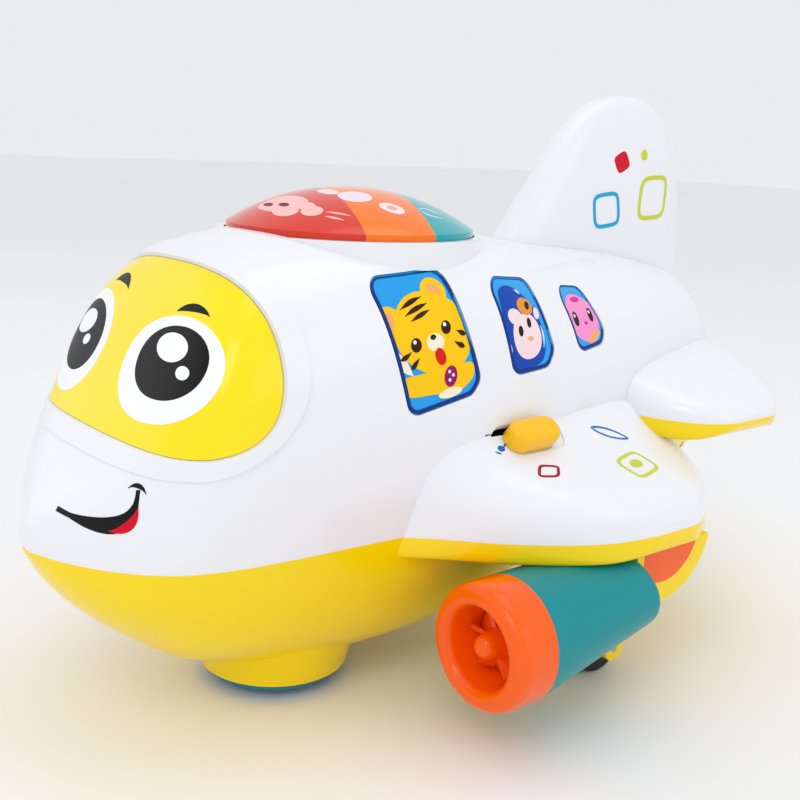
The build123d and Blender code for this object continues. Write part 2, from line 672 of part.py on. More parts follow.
for side_name, side in SIDES.items():
    with BuildPart() as intake_ring:
        with BuildSketch(NACELLE_PLANE):
            with BuildLine():
                Line((RING_REAR, NACELLE_R), (NACELLE_FRONT + 5.5, NACELLE_R))
                Bezier((NACELLE_FRONT + 5.5, NACELLE_R), (NACELLE_FRONT + 1.5, NACELLE_R),
                       (NACELLE_FRONT, NACELLE_R - 1.8), (NACELLE_FRONT, NACELLE_R - 4.2))
                Bezier((NACELLE_FRONT, NACELLE_R - 4.2), (NACELLE_FRONT, NACELLE_R - 5.8),
                       (NACELLE_FRONT + 1.2, NACELLE_R - 6.6), (NACELLE_FRONT + 2.6, NACELLE_R - 7.0))
                Line((NACELLE_FRONT + 2.6, NACELLE_R - 7.0), (RING_REAR, NACELLE_R - 8.4))
                Line((RING_REAR, NACELLE_R - 8.4), (RING_REAR, NACELLE_R))
            make_face()
        revolve(axis=NACELLE_AXIS)
        mirror_if(side)
    save(intake_ring.part, f"{side_name}_intake_ring")

    with BuildPart() as nacelle_body:
        add(nacelle_tube(0, RING_REAR, NACELLE_REAR))
        fillet(nacelle_body.faces().sort_by(Axis.Y)[-1].edges(), 2.5)
        add(nacelle_tube(2.2, RING_REAR + 2.2, NACELLE_REAR - 2.2), mode=Mode.SUBTRACT)
        with BuildSketch(across_y(RING_REAR - 11, NACELLE_Z)):
            Circle(FAN_PIN_R)
        extrude(amount=12)
        with BuildSketch(Plane.XY.offset(WING_UNDER_Z)):
            with Locations((NACELLE_X, 0)):
                Rectangle(60, 160)
        extrude(amount=20, mode=Mode.SUBTRACT)
        mirror_if(side)
    save(nacelle_body.part, f"{side_name}_nacelle_body")

    with BuildPart() as intake_fan:
        with BuildSketch(NACELLE_PLANE):
            with BuildLine():
                Polyline((RING_REAR - 0.5, FAN_PIN_R + 0.05), (RING_REAR - 0.5, FAN_R),
                         (RING_REAR - 1.7, FAN_R), (RING_REAR - 4.5, 5.2), (RING_REAR - 8, 4.2))
                Bezier((RING_REAR - 8, 4.2), (RING_REAR - 12, 3.9), (RING_REAR - 13.2, 2.2), (RING_REAR - 13.2, 0))
                Polyline((RING_REAR - 13.2, 0), (RING_REAR - 11.4, 0),
                         (RING_REAR - 11.4, FAN_PIN_R + 0.05), (RING_REAR - 0.5, FAN_PIN_R + 0.05))
            make_face()
        revolve(axis=NACELLE_AXIS)
        for index in range(6):
            turn = index * 60
            blade = Plane(origin=(NACELLE_X, RING_REAR - 4, NACELLE_Z), x_dir=(cos(radians(turn)), 0, sin(radians(turn))),
                          z_dir=(sin(radians(turn)) * 0.8, 0.6, -cos(radians(turn)) * 0.8))
            with BuildSketch(blade):
                with Locations((7.2, 0)):
                    Rectangle(6.6, 5.0)
            extrude(amount=0.6, both=True)
        mirror_if(side)
    save(intake_fan.part, f"{side_name}_intake_fan")

# ---- rear gear legs and wheels ------------------------------------------------------
LEG_WIDTH = 12.0
HOOP_Y = 32.8              # centre of the leg's round outline
HOOP_Z = 56.6
HOOP_R = 23.3
HOOP_BAND = 6.5
LEG_TOP_Z = WING_UNDER_Z - 0.2
AXLE_BOSS_R = 4.5
REAR_PIN_R = 1.6
WHEEL_WIDTH = 8.0
WHEEL_INNER_X = 57.0
STRUT_X = 66.0
STRUT_WIDTH = 5.0


def outside_bay(front):
    """Body above the wing's lower face and ahead of front."""
    with BuildPart() as trim:
        with BuildSketch(Plane.YZ):
            with Locations((HOOP_Y, LEG_TOP_Z + 50)):
                Rectangle(160, 100)
            with Locations((front - 50, HOOP_Z)):
                Rectangle(100, 100)
        extrude(amount=REACH)
    return trim.part


def hoop_infill():
    """Half-round infill that fills the opening of the hoop."""
    with BuildPart() as infill:
        with BuildSketch(along_x(GEAR_X - LEG_WIDTH / 2, HOOP_Y, HOOP_Z)):
            Circle(HOOP_R - HOOP_BAND)
        extrude(amount=LEG_WIDTH)
        add(outside_bay(NACELLE_REAR + 4), mode=Mode.SUBTRACT)
    return infill.part


for side_name, side in SIDES.items():
    with BuildPart() as gear_leg:
        with BuildSketch(along_x(GEAR_X - LEG_WIDTH / 2, HOOP_Y, HOOP_Z)):
            Circle(HOOP_R)
        extrude(amount=LEG_WIDTH)
        add(outside_bay(NACELLE_REAR + 0.6), mode=Mode.SUBTRACT)
        # strut inboard of the hoop, carrying the wheel's pin
        with BuildSketch(Plane.YZ.offset(STRUT_X)):
            with BuildLine():
                Polyline((REAR_WHEEL_Y - AXLE_BOSS_R, REAR_WHEEL_R), (NACELLE_REAR + 6, 30),
                         (NACELLE_REAR + 4.6, LEG_TOP_Z), (REAR_WHEEL_Y + 15, LEG_TOP_Z),
                         (REAR_WHEEL_Y + 8, 30), (REAR_WHEEL_Y + AXLE_BOSS_R, REAR_WHEEL_R), close=True)
            make_face()
            with Locations((REAR_WHEEL_Y, REAR_WHEEL_R)):
                Circle(AXLE_BOSS_R)
        extrude(amount=STRUT_WIDTH)
        with BuildSketch(Plane.YZ.offset(STRUT_X)):
            with Locations((HOOP_Y, HOOP_Z - HOOP_R + 8)):
                Rectangle(14, 16)
        extrude(amount=GEAR_X - STRUT_X)
        add(hoop_infill(), mode=Mode.SUBTRACT)
        with BuildSketch(Plane.YZ.offset(STRUT_X - 5)):
            with Locations((REAR_WHEEL_Y, REAR_WHEEL_R)):
                Circle(REAR_PIN_R)
        extrude(amount=20, mode=Mode.SUBTRACT)
        mirror_if(side)
    save(gear_leg.part, f"{side_name}_gear_leg")
    with BuildPart() as gear_infill:
        add(hoop_infill())
        mirror_if(side)
    save(gear_infill.part, f"{side_name}_gear_infill")
    with BuildPart() as rear_pin:
        with BuildSketch(Plane.YZ.offset(WHEEL_INNER_X - 2)):
            with Locations((REAR_WHEEL_Y, REAR_WHEEL_R)):
                Circle(3.2)
        extrude(amount=1.5)
        with BuildSketch(Plane.YZ.offset(WHEEL_INNER_X - 0.5)):
            with Locations((REAR_WHEEL_Y, REAR_WHEEL_R)):
                Circle(REAR_PIN_R)
        extrude(amount=STRUT_X + STRUT_WIDTH - WHEEL_INNER_X + 0.5)
        mirror_if(side)
    save(rear_pin.part, f"{side_name}_rear_pin")
    with BuildPart() as rear_wheel:
        with BuildSketch(along_x(WHEEL_INNER_X, REAR_WHEEL_Y, REAR_WHEEL_R)):
            Circle(REAR_WHEEL_R)
        extrude(amount=WHEEL_WIDTH)
        fillet(rear_wheel.edges().filter_by(GeomType.CIRCLE), 1.2)
        with BuildSketch(along_x(WHEEL_INNER_X, REAR_WHEEL_Y, REAR_WHEEL_R)):
            Circle(REAR_WHEEL_R - 3)
            Circle(4, mode=Mode.SUBTRACT)
        extrude(amount=3.0, mode=Mode.SUBTRACT)
        with BuildSketch(along_x(WHEEL_INNER_X - 2, REAR_WHEEL_Y, REAR_WHEEL_R)):
            Circle(REAR_PIN_R + 0.05)
        extrude(amount=30, mode=Mode.SUBTRACT)
        mirror_if(side)
    save(rear_wheel.part, f"{side_name}_rear_wheel")

# ---- drive pod ----------------------------------------------------------------------
HOUSING_FLOOR_Z = 3.0
COVER_Z = 14.8
COVER_TOP_Z = 44.0
IDLER_Y = POD_Y + 5.0
IDLER_Z = AXLE_Z + sqrt((GEAR_MODULE * (AXLE_TEETH + IDLER_SMALL_TEETH) / 2) ** 2 - 5.0 ** 2)
MOTOR_Y = IDLER_Y - 4.0
MOTOR_Z = IDLER_Z + sqrt((GEAR_MODULE * (IDLER_TEETH + PINION_TEETH) / 2) ** 2 - 4.0 ** 2)
MOTOR_LENGTH = 13.8
MOTOR_HALF = 6.2           # half height across the motor's flats
DRIVE_AXLE_R = 1.5
IDLER_PIN_R = 1.0
WEB_X = 7.6                # inner face of the webs that carry the gears

with BuildPart() as pod_housing:
    with BuildSketch(Plane.XY.offset(HOUSING_FLOOR_Z)):
        with Locations((0, POD_Y)):
            Circle(POD_FOOT_R)
    extrude(amount=2)
    chamfer(pod_housing.edges().group_by(Axis.Z)[0], 1.2)
    with BuildSketch(Plane.XY.offset(HOUSING_FLOOR_Z)):
        with Locations((0, POD_Y)):
            Circle(POD_R)
    extrude(amount=COVER_Z - HOUSING_FLOOR_Z)
    with BuildSketch(Plane.XY.offset(HOUSING_FLOOR_Z + 1)):
        with Locations((0, POD_Y)):
            Circle(POD_R - 1.4)
    extrude(amount=40, mode=Mode.SUBTRACT)
    with BuildSketch(Plane.XY.offset(HOUSING_FLOOR_Z)):
        with Locations((-WEB_X - 0.6, POD_Y + 1), (WEB_X + 0.6, POD_Y + 1)):
            Rectangle(1.2, 18)
    extrude(amount=21.8 - HOUSING_FLOOR_Z)
    with BuildSketch(along_x(-30, POD_Y, AXLE_Z)):
        Circle(DRIVE_AXLE_R + 0.05)
    extrude(amount=60, mode=Mode.SUBTRACT)
    with BuildSketch(along_x(-30, IDLER_Y, IDLER_Z)):
        Circle(IDLER_PIN_R)
    extrude(amount=60, mode=Mode.SUBTRACT)
    with BuildSketch(Plane.XY):
        with Locations((-12.5, POD_Y), (12.5, POD_Y)):
            Rectangle(7.2, 19.6)
    extrude(amount=COVER_Z + 1, mode=Mode.SUBTRACT)
save(pod_housing.part, "pod_housing")

with BuildPart() as pod_cover:
    with BuildSketch(Plane.XY.offset(COVER_Z)):
        with Locations((0, POD_Y)):
            Circle(POD_FOOT_R)
    extrude(amount=1.6)
    with BuildSketch(Plane.XY.offset(COVER_Z)):
        with Locations((0, POD_Y)):
            Circle(POD_R)
    extrude(amount=COVER_TOP_Z - COVER_Z)
    with BuildSketch(Plane.XY.offset(COVER_Z)):
        with Locations((0, POD_Y)):
            Circle(POD_R - 1.4)
    extrude(amount=COVER_TOP_Z - 1.6 - COVER_Z, mode=Mode.SUBTRACT)
    with BuildSketch(Plane.XY.offset(MOTOR_Z + MOTOR_HALF)):
        with Locations((-8, MOTOR_Y)):
            Rectangle(10, 12)
    extrude(amount=COVER_TOP_Z - 1 - MOTOR_Z - MOTOR_HALF)
save(pod_cover.part, "pod_cover")

with BuildPart() as drive_motor:
    with BuildSketch(along_x(-17, MOTOR_Y, MOTOR_Z)):
        with BuildLine():
            Polyline((-7, -MOTOR_HALF), (7, -MOTOR_HALF))
            ThreePointArc((7, -MOTOR_HALF), (9.2, 0), (7, MOTOR_HALF))
            Line((7, MOTOR_HALF), (-7, MOTOR_HALF))
            ThreePointArc((-7, MOTOR_HALF), (-9.2, 0), (-7, -MOTOR_HALF))
        make_face()
    extrude(amount=MOTOR_LENGTH)
    with BuildSketch(along_x(MOTOR_LENGTH - 17, MOTOR_Y, MOTOR_Z)):
        Circle(3)
    extrude(amount=18.6 - MOTOR_LENGTH)
    with BuildSketch(along_x(-18, MOTOR_Y, MOTOR_Z)):
        Circle(2.6)
    extrude(amount=1)
save(drive_motor.part, "drive_motor")

line_up = degrees(atan2(IDLER_Z - AXLE_Z, IDLER_Y - POD_Y))
line_over = degrees(atan2(MOTOR_Z - IDLER_Z, MOTOR_Y - IDLER_Y))

with BuildPart() as motor_pinion:
    add(gear_teeth(PINION_TEETH, along_x(2.8, MOTOR_Y, MOTOR_Z), 4.2, line_over + 180 + 180 / PINION_TEETH))
    with BuildSketch(along_x(1.9, MOTOR_Y, MOTOR_Z)):
        Circle(1.5)
    extrude(amount=5.6)
save(motor_pinion.part, "motor_pinion")

with BuildPart() as idler_gear:
    add(gear_teeth(IDLER_SMALL_TEETH, along_x(-2.6, IDLER_Y, IDLER_Z), 6.0,
                   line_up + 180 + 180 / IDLER_SMALL_TEETH))
    add(gear_teeth(IDLER_TEETH, along_x(3.3, IDLER_Y, IDLER_Z), 3.2, line_over))
    with BuildSketch(along_x(-6.8, IDLER_Y, IDLER_Z)):
        Circle(2.2)
    extrude(amount=13.8)
    with BuildSketch(along_x(-10, IDLER_Y, IDLER_Z)):
        Circle(IDLER_PIN_R + 0.05)
    extrude(amount=30, mode=Mode.SUBTRACT)
save(idler_gear.part, "idler_gear")

with BuildPart() as idler_pin:
    with BuildSketch(along_x(-WEB_X - 1.2, IDLER_Y, IDLER_Z)):
        Circle(IDLER_PIN_R)
    extrude(amount=2 * WEB_X + 2.4)
save(idler_pin.part, "idler_pin")

with BuildPart() as axle_gear:
    add(gear_teeth(AXLE_TEETH, along_x(-2, POD_Y, AXLE_Z), 4.0, line_up))
    with BuildSketch(along_x(-6.8, POD_Y, AXLE_Z)):
        Circle(2.6)
    extrude(amount=9.4)
    with BuildSketch(along_x(-10, POD_Y, AXLE_Z)):
        Circle(DRIVE_AXLE_R)
    extrude(amount=30, mode=Mode.SUBTRACT)
save(axle_gear.part, "axle_gear")

with BuildPart() as drive_axle:
    with BuildSketch(along_x(-17.2, POD_Y, AXLE_Z)):
        Circle(DRIVE_AXLE_R)
    extrude(amount=34.4)
save(drive_axle.part, "drive_axle")

for side_name, side in SIDES.items():
    with BuildPart() as drive_wheel:
        with BuildSketch(along_x(9.5, POD_Y, AXLE_Z)):
            Circle(AXLE_Z)
        extrude(amount=6)
        fillet(drive_wheel.edges().filter_by(GeomType.CIRCLE), 0.8)
        with BuildSketch(along_x(13.5, POD_Y, AXLE_Z)):
            Circle(AXLE_Z - 2.5)
            Circle(3, mode=Mode.SUBTRACT)
        extrude(amount=3, mode=Mode.SUBTRACT)
        with BuildSketch(along_x(5, POD_Y, AXLE_Z)):
            Circle(DRIVE_AXLE_R)
        extrude(amount=20, mode=Mode.SUBTRACT)
        mirror_if(side)
    save(drive_wheel.part, f"{side_name}_drive_wheel")

with BuildPart() as slip_ring:
    with BuildSketch(Plane.XY.offset(COVER_TOP_Z)):
        with Locations((0, POD_Y)):
            Circle(13)
    extrude(amount=1.2)
save(slip_ring.part, "slip_ring")

with BuildPart() as slip_ring_springs:
    with BuildSketch(Plane.XY.offset(COVER_TOP_Z + 1.5)):
        with Locations((-8, POD_Y), (0, POD_Y + 4), (8, POD_Y)):
            Rectangle(2.4, 10)
    extrude(amount=0.4)
    with BuildSketch(Plane.XY.offset(COVER_TOP_Z + 1.5)):
        with Locations((-8, POD_Y + 4.6), (0, POD_Y + 8.6), (8, POD_Y + 4.6)):
            Rectangle(2.4, 0.8)
    extrude(amount=BOARD_Z - COVER_TOP_Z - 1.5)
save(slip_ring_springs.part, "slip_ring_springs")

# ---- electronics, batteries and screws ----------------------------------------------
with BuildPart() as main_board:
    with BuildSketch(Plane.XY.offset(BOARD_Z)):
        with Locations((0, -59.5)):
            RectangleRounded(70, 73, 3)
    extrude(amount=1.6)
    with BuildSketch(Plane.XY.offset(BOARD_Z + 1.6)):
        with Locations((-14, -70)):
            Rectangle(12, 9)
        with Locations((12, -45), (20, -75)):
            Rectangle(7, 4)
    extrude(amount=2.0)
save(main_board.part, "main_board")

with BuildPart() as speaker:
    with BuildSketch(Plane.XY.offset(31.5)):
        with Locations((0, -101)):
            Circle(12.5)
    extrude(amount=3)
    with BuildSketch(Plane.XY.offset(34.5)):
        with Locations((0, -101)):
            Circle(8)
    extrude(amount=5)
save(speaker.part, "speaker")

CELL_R = 7.1
CELL_Z = 45.5
CELL_LENGTH = 49.0
CELL_PLACES = [(-15.4, 39), (0, 39), (15.4, 39)]

with BuildPart() as battery_cells:
    for x, y in CELL_PLACES:
        with BuildSketch(Plane.XZ.offset(-(y + CELL_LENGTH / 2))):
            with Locations((x, CELL_Z)):
                Circle(CELL_R)
        extrude(amount=CELL_LENGTH)
        with BuildSketch(Plane.XZ.offset(-(y + CELL_LENGTH / 2 + 1.3))):
            with Locations((x, CELL_Z)):
                Circle(2.6)
        extrude(amount=1.4)
save(battery_cells.part, "battery_cells")

with BuildPart() as battery_tray:
    with BuildSketch(Plane.XY.offset(15)):
        with Locations((0, DOOR_Y)):
            RectangleRounded(DOOR[0] + 6, DOOR[1] + 6, 6)
    extrude(amount=CELL_Z + 9.5 - 15)
    add(hull_inner, mode=Mode.INTERSECT)
    with BuildSketch(Plane.XY):
        with Locations((0, DOOR_Y)):
            RectangleRounded(DOOR[0] + 1.2, DOOR[1] + 1.2, 5)
    extrude(amount=CELL_Z - 4, mode=Mode.SUBTRACT)
    for x, y in CELL_PLACES:
        with BuildSketch(Plane.XZ.offset(-(y + 26.4))):
            with Locations((x, CELL_Z)):
                Circle(CELL_R + 0.25)
            with Locations((x, CELL_Z - 10)):
                Rectangle(2 * CELL_R + 0.5, 20)
        extrude(amount=52.4, mode=Mode.SUBTRACT)
save(battery_tray.part, "battery_tray")

with BuildPart() as case_screws:
    for places, joint_z in ((SCREWS_FRONT, PARTING_Z), (SCREWS_REAR, TAIL_Z)):
        with BuildSketch(Plane.XY.offset(joint_z - 8)):
            with Locations(*places):
                Circle(1.1)
        extrude(amount=18)
        with BuildSketch(Plane.XY.offset(joint_z - 8)):
            with Locations(*places):
                Circle(2.8)
        extrude(amount=-2)
save(case_screws.part, "case_screws")
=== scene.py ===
import json
import math

import bmesh
import bpy
from mathutils import Matrix, Vector
from mathutils.bvhtree import BVHTree
from mathutils.geometry import delaunay_2d_cdt


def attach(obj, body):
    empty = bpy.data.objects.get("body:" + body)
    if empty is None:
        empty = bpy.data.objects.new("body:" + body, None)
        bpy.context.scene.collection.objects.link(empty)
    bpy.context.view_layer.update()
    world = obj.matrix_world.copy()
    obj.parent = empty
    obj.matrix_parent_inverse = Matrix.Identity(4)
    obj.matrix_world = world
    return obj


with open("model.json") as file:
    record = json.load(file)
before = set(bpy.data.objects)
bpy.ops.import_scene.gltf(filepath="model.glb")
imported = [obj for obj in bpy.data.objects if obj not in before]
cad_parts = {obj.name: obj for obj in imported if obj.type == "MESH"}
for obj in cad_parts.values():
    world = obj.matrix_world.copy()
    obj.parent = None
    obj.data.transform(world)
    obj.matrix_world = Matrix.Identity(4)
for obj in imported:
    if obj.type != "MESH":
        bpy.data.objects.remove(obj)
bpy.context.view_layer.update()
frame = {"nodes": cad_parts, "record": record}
NODES = frame["nodes"]
MM = 0.001

# ------------------------------------------------------------------ camera, light, floor
CAM_AZIMUTH = 50.0
CAM_ELEVATION = 13.1
CAM_ROLL = 2.7
CAM_DISTANCE = 0.4094
CAM_TARGET = Vector((-0.0165, 0.0041, 0.0821))
CAM_LENS = 50.0


def add_camera():
    """Camera at the front left of the airplane, looking slightly down."""
    az, el, roll = (math.radians(a) for a in (CAM_AZIMUTH, CAM_ELEVATION, CAM_ROLL))
    ahead = Vector((-math.sin(az) * math.cos(el), math.cos(az) * math.cos(el), -math.sin(el)))
    right = Vector((math.cos(az), math.sin(az), 0))
    up = right.cross(ahead)
    right, up = (right * math.cos(roll) + up * math.sin(roll),
                 up * math.cos(roll) - right * math.sin(roll))
    cam = bpy.data.objects.new("camera", bpy.data.cameras.new("camera"))
    cam.data.lens = CAM_LENS
    cam.data.sensor_width = 36.0
    cam.data.clip_start = 0.01
    place = Matrix((right, up, -ahead)).transposed().to_4x4()
    place.translation = CAM_TARGET - ahead * CAM_DISTANCE
    cam.matrix_world = place
    bpy.context.scene.collection.objects.link(cam)
    bpy.context.scene.camera = cam


def add_light(name, place, target, size, watts, color=(1, 1, 1)):
    """Soft square light at place, aimed at target."""
    data = bpy.data.lights.new(name, "AREA")
    data.shape = "SQUARE"
    data.size = size
    data.energy = watts
    data.color = color
    lamp = bpy.data.objects.new(name, data)
    lamp.location = place
    lamp.rotation_euler = (Vector(target) - Vector(place)).to_track_quat("-Z", "Y").to_euler()
    bpy.context.scene.collection.objects.link(lamp)


def new_material(name):
    """Empty node material: (material, nodes, links, principled shader)."""
    mat = bpy.data.materials.new(name)
    mat.use_nodes = True
    nodes, links = mat.node_tree.nodes, mat.node_tree.links
    return mat, nodes, links, nodes["Principled BSDF"]


def add_stage():
    """Pale floor and an even pale surrounding light."""
    mesh = bpy.data.meshes.new("floor")
    half = 6.0
    corners = [(-half, -half, 0), (half, -half, 0), (half, half, 0), (-half, half, 0)]
    mesh.from_pydata(corners, [], [(0, 1, 2, 3)])
    floor = bpy.data.objects.new("floor", mesh)
    bpy.context.scene.collection.objects.link(floor)
    mat, nodes, links, shader = new_material("floor_paper")
    shader.inputs["Roughness"].default_value = 0.65
    shader.inputs["Specular IOR Level"].default_value = 0.25
    coord = nodes.new("ShaderNodeTexCoord")
    grain = nodes.new("ShaderNodeTexNoise")
    grain.inputs["Scale"].default_value = 3.0
    ramp = nodes.new("ShaderNodeValToRGB")
    ramp.color_ramp.elements[0].color = (0.90, 0.905, 0.915, 1)
    ramp.color_ramp.elements[1].color = (0.93, 0.935, 0.94, 1)
    links.new(coord.outputs["Object"], grain.inputs["Vector"])
    links.new(grain.outputs["Fac"], ramp.inputs["Fac"])
    links.new(ramp.outputs["Color"], shader.inputs["Base Color"])
    mesh.materials.append(mat)
    world = bpy.data.worlds.new("studio")
    world.use_nodes = True
    world.node_tree.nodes["Background"].inputs["Color"].default_value = (0.97, 0.98, 1.0, 1)
    world.node_tree.nodes["Background"].inputs["Strength"].default_value = 0.86
    bpy.context.scene.world = world
    bpy.context.scene.view_settings.view_transform = "Standard"


add_camera()
add_light("key", (0.55, -0.75, 0.95), (0, -0.02, 0.08), 0.55, 2.0)
add_light("fill", (-0.85, -0.65, 0.55), (0, 0, 0.09), 0.8, 0.6, (0.96, 0.98, 1.0))
add_light("top", (0.05, 0.15, 1.15), (0, 0, 0.1), 0.7, 1.3)
add_light("side", (0.95, 0.35, 0.45), (0.05, 0, 0.06), 0.5, 0.5)
add_stage()


# ------------------------------------------------------------------ materials
def linear(rgb):
    """Display colour 0 to 255 to a linear RGBA."""
    out = [((c / 255) / 12.92 if c / 255 <= 0.04045 else ((c / 255 + 0.055) / 1.055) ** 2.4) for c in rgb]
    return (*out, 1.0)


def shade(rgba, gain):
    return (*(min(1.0, c * gain) for c in rgba[:3]), 1.0)


def add_bump(nodes, links, shader, coord, scale, strength, distance, kind="ShaderNodeTexNoise"):
    """Fine relief of a moulded or printed surface."""
    relief = nodes.new(kind)
    relief.inputs["Scale"].default_value = scale
    links.new(coord.outputs["Object"], relief.inputs["Vector"])
    bump = nodes.new("ShaderNodeBump")
    bump.inputs["Strength"].default_value = strength
    bump.inputs["Distance"].default_value = distance
    height = relief.outputs["Fac"] if "Fac" in relief.outputs else relief.outputs["Distance"]
    links.new(height, bump.inputs["Height"])
    links.new(bump.outputs["Normal"], shader.inputs["Normal"])
    return bump


def plastic(name, rgb, rough=0.22, coat=0.2, spread=0.03, grain=900.0, relief=0.05, glow=0.0, sheen=0.0,
            shine=0.3):
    """Moulded plastic: slow colour drift, uneven gloss and a faint skin texture."""
    mat, nodes, links, shader = new_material(name)
    base = linear(rgb)
    coord = nodes.new("ShaderNodeTexCoord")
    drift = nodes.new("ShaderNodeTexNoise")
    drift.inputs["Scale"].default_value = 9.0
    drift.inputs["Detail"].default_value = 3.0
    ramp = nodes.new("ShaderNodeValToRGB")
    ramp.color_ramp.elements[0].position = 0.3
    ramp.color_ramp.elements[0].color = shade(base, 1 - spread)
    ramp.color_ramp.elements[1].position = 0.7
    ramp.color_ramp.elements[1].color = shade(base, 1 + spread)
    links.new(coord.outputs["Object"], drift.inputs["Vector"])
    links.new(drift.outputs["Fac"], ramp.inputs["Fac"])
    links.new(ramp.outputs["Color"], shader.inputs["Base Color"])
    haze = nodes.new("ShaderNodeTexNoise")
    haze.inputs["Scale"].default_value = 55.0
    haze.inputs["Detail"].default_value = 4.0
    span = nodes.new("ShaderNodeMapRange")
    span.inputs["To Min"].default_value = rough * 0.85
    span.inputs["To Max"].default_value = rough * 1.25
    links.new(coord.outputs["Object"], haze.inputs["Vector"])
    links.new(haze.outputs["Fac"], span.inputs["Value"])
    links.new(span.outputs["Result"], shader.inputs["Roughness"])
    shader.inputs["Coat Weight"].default_value = coat
    shader.inputs["Coat Roughness"].default_value = 0.08
    shader.inputs["IOR"].default_value = 1.5
    shader.inputs["Specular IOR Level"].default_value = shine
    shader.inputs["Sheen Weight"].default_value = sheen
    if glow:
        shader.inputs["Subsurface Weight"].default_value = glow
        shader.inputs["Subsurface Radius"].default_value = (1.0, 0.8, 0.7)
        shader.inputs["Subsurface Scale"].default_value = 0.002
    add_bump(nodes, links, shader, coord, grain, relief, 0.0002)
    return mat


def metal(name, rgb, rough=0.3, grain=400.0):
    """Drawn or plated metal with fine streaks."""
    mat, nodes, links, shader = new_material(name)
    coord = nodes.new("ShaderNodeTexCoord")
    stretch = nodes.new("ShaderNodeMapping")
    stretch.inputs["Scale"].default_value = (1.0, 1.0, 0.05)
    links.new(coord.outputs["Object"], stretch.inputs["Vector"])
    streak = nodes.new("ShaderNodeTexNoise")
    streak.inputs["Scale"].default_value = grain
    streak.inputs["Detail"].default_value = 5.0
    links.new(stretch.outputs["Vector"], streak.inputs["Vector"])
    ramp = nodes.new("ShaderNodeValToRGB")
    ramp.color_ramp.elements[0].color = shade(linear(rgb), 0.85)
    ramp.color_ramp.elements[1].color = linear(rgb)
    links.new(streak.outputs["Fac"], ramp.inputs["Fac"])
    links.new(ramp.outputs["Color"], shader.inputs["Base Color"])
    span = nodes.new("ShaderNodeMapRange")
    span.inputs["To Min"].default_value = rough * 0.8
    span.inputs["To Max"].default_value = rough * 1.3
    links.new(streak.outputs["Fac"], span.inputs["Value"])
    links.new(span.outputs["Result"], shader.inputs["Roughness"])
    shader.inputs["Metallic"].default_value = 1.0
    bump = nodes.new("ShaderNodeBump")
    bump.inputs["Strength"].default_value = 0.1
    bump.inputs["Distance"].default_value = 0.0001
    links.new(streak.outputs["Fac"], bump.inputs["Height"])
    links.new(bump.outputs["Normal"], shader.inputs["Normal"])
    return mat


def ink(name, rgb, rough=0.35, coat=0.05):
    """Printed ink: dense colour with a slight dot texture."""
    return plastic(name, rgb, rough=rough, coat=coat, spread=0.02, grain=2500.0, relief=0.03,
                   shine=0.15)


WHITE = plastic("white_abs", (240, 241, 245), rough=0.20, coat=0.45, spread=0.012, glow=0.06)
YELLOW = plastic("yellow_abs", (255, 220, 0), rough=0.20, coat=0.12, spread=0.02)
SLOT_MATERIALS = {
    "white_shell": WHITE,
    "yellow_shell": YELLOW,
    "windshield_yellow": plastic("windshield_yellow", (255, 230, 0), rough=0.16, coat=0.2, spread=0.015),
    "window_print": plastic("window_sky", (14, 158, 234), rough=0.2, coat=0.15, spread=0.05),
    "orange_plastic": plastic("orange_abs", (255, 96, 0), rough=0.18, coat=0.2, spread=0.03),
    "teal_plastic": plastic("teal_abs", (0, 140, 146), rough=0.32, coat=0.08, spread=0.03),
    "foot_teal": plastic("foot_teal_abs", (10, 122, 158), rough=0.35, coat=0.08, spread=0.03),
    "lens_red": plastic("lens_red", (222, 52, 26), rough=0.12, coat=0.3, spread=0.02),
    "lens_orange": plastic("lens_orange", (255, 122, 6), rough=0.12, coat=0.3, spread=0.02),
    "lens_teal": plastic("lens_teal", (0, 168, 176), rough=0.12, coat=0.3, spread=0.02),
    "amber_plastic": plastic("amber_abs", (255, 194, 4), rough=0.2, coat=0.15, spread=0.02),
    "dark_plastic": plastic("dark_nylon", (34, 35, 38), rough=0.5, coat=0.0, grain=1400.0, relief=0.25),
    "natural_nylon": plastic("natural_nylon", (226, 222, 208), rough=0.42, coat=0.0, glow=0.1),
    "tyre_rubber": plastic("tyre_rubber", (26, 26, 28), rough=0.75, coat=0.0, grain=1600.0, relief=0.5,
                           sheen=0.2),
    "steel": metal("drawn_steel", (186, 188, 192)),
    "copper_foil": metal("contact_copper", (214, 150, 96), rough=0.25),
    "circuit_board": plastic("solder_mask", (18, 92, 48), rough=0.3, coat=0.3, grain=700.0, relief=0.2),
    "lamp_body": plastic("lamp_epoxy", (240, 242, 246), rough=0.1, coat=0.6, glow=0.3),
    "cell_wrap": plastic("cell_wrap", (40, 46, 66), rough=0.25, coat=0.4),
}


def dress_frame():
    """Gives every CAD node the detailed material of its slot."""
    for part in frame["record"]["subparts"]:
        node = NODES[part["node"]]
        for entry in node.material_slots:
            entry.material = SLOT_MATERIALS[part["material_slot"]]


dress_frame()


# ------------------------------------------------------------------ outlines, in millimetres
def ellipse(cx, cy, a, b, angle=0.0, power=2.0, steps=40):
    """Closed oval with half sizes a and b; a power over 2 makes it squarer."""
    turn = math.radians(angle)
    along = (a * math.cos(turn), a * math.sin(turn))
    across = (-b * math.sin(turn), b * math.cos(turn))
    return tile((cx, cy), along, across, power, steps)


def tile(centre, along, across, power=4.0, steps=48):
    """Closed soft-cornered outline with two half vectors."""
    points = []
    for i in range(steps):
        t = 2 * math.pi * i / steps
        x = math.copysign(abs(math.cos(t)) ** (2 / power), math.cos(t))
        y = math.copysign(abs(math.sin(t)) ** (2 / power), math.sin(t))
        points.append((centre[0] + along[0] * x + across[0] * y, centre[1] + along[1] * x + across[1] * y))
    return points


